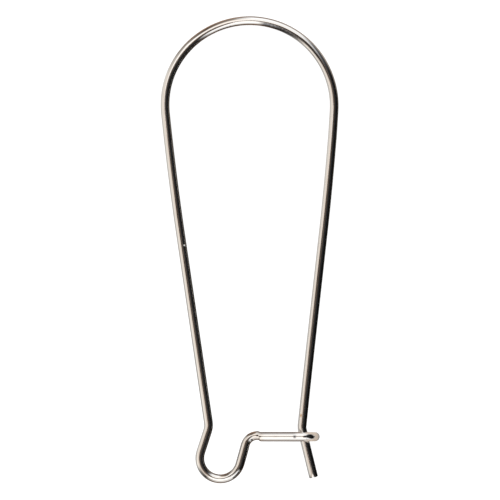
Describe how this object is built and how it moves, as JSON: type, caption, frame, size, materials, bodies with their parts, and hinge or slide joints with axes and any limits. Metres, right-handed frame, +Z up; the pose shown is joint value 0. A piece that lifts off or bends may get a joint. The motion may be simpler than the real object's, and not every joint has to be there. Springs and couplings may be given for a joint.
{
  "type": "ear wire",
  "caption": "Long ear wire bent from round wire, with an arch for the ear lobe, a drop loop to hang a charm from, and a hook that catches the springy leg.",
  "frame": {"origin": "on the surface that the wire lies on, under the middle of its outline", "axes": "+Y from the catch towards the arch, +X from the front leg towards the catch leg, +Z up, out of the face that the catch bar crosses"},
  "size_m": [0.0145, 0.038, 0.0026],
  "materials": {
    "silver_wire": "polished, drawn wire"
  },
  "bodies": {
    "root": {"ear_wire": "silver_wire"}
  },
  "joints": []
}
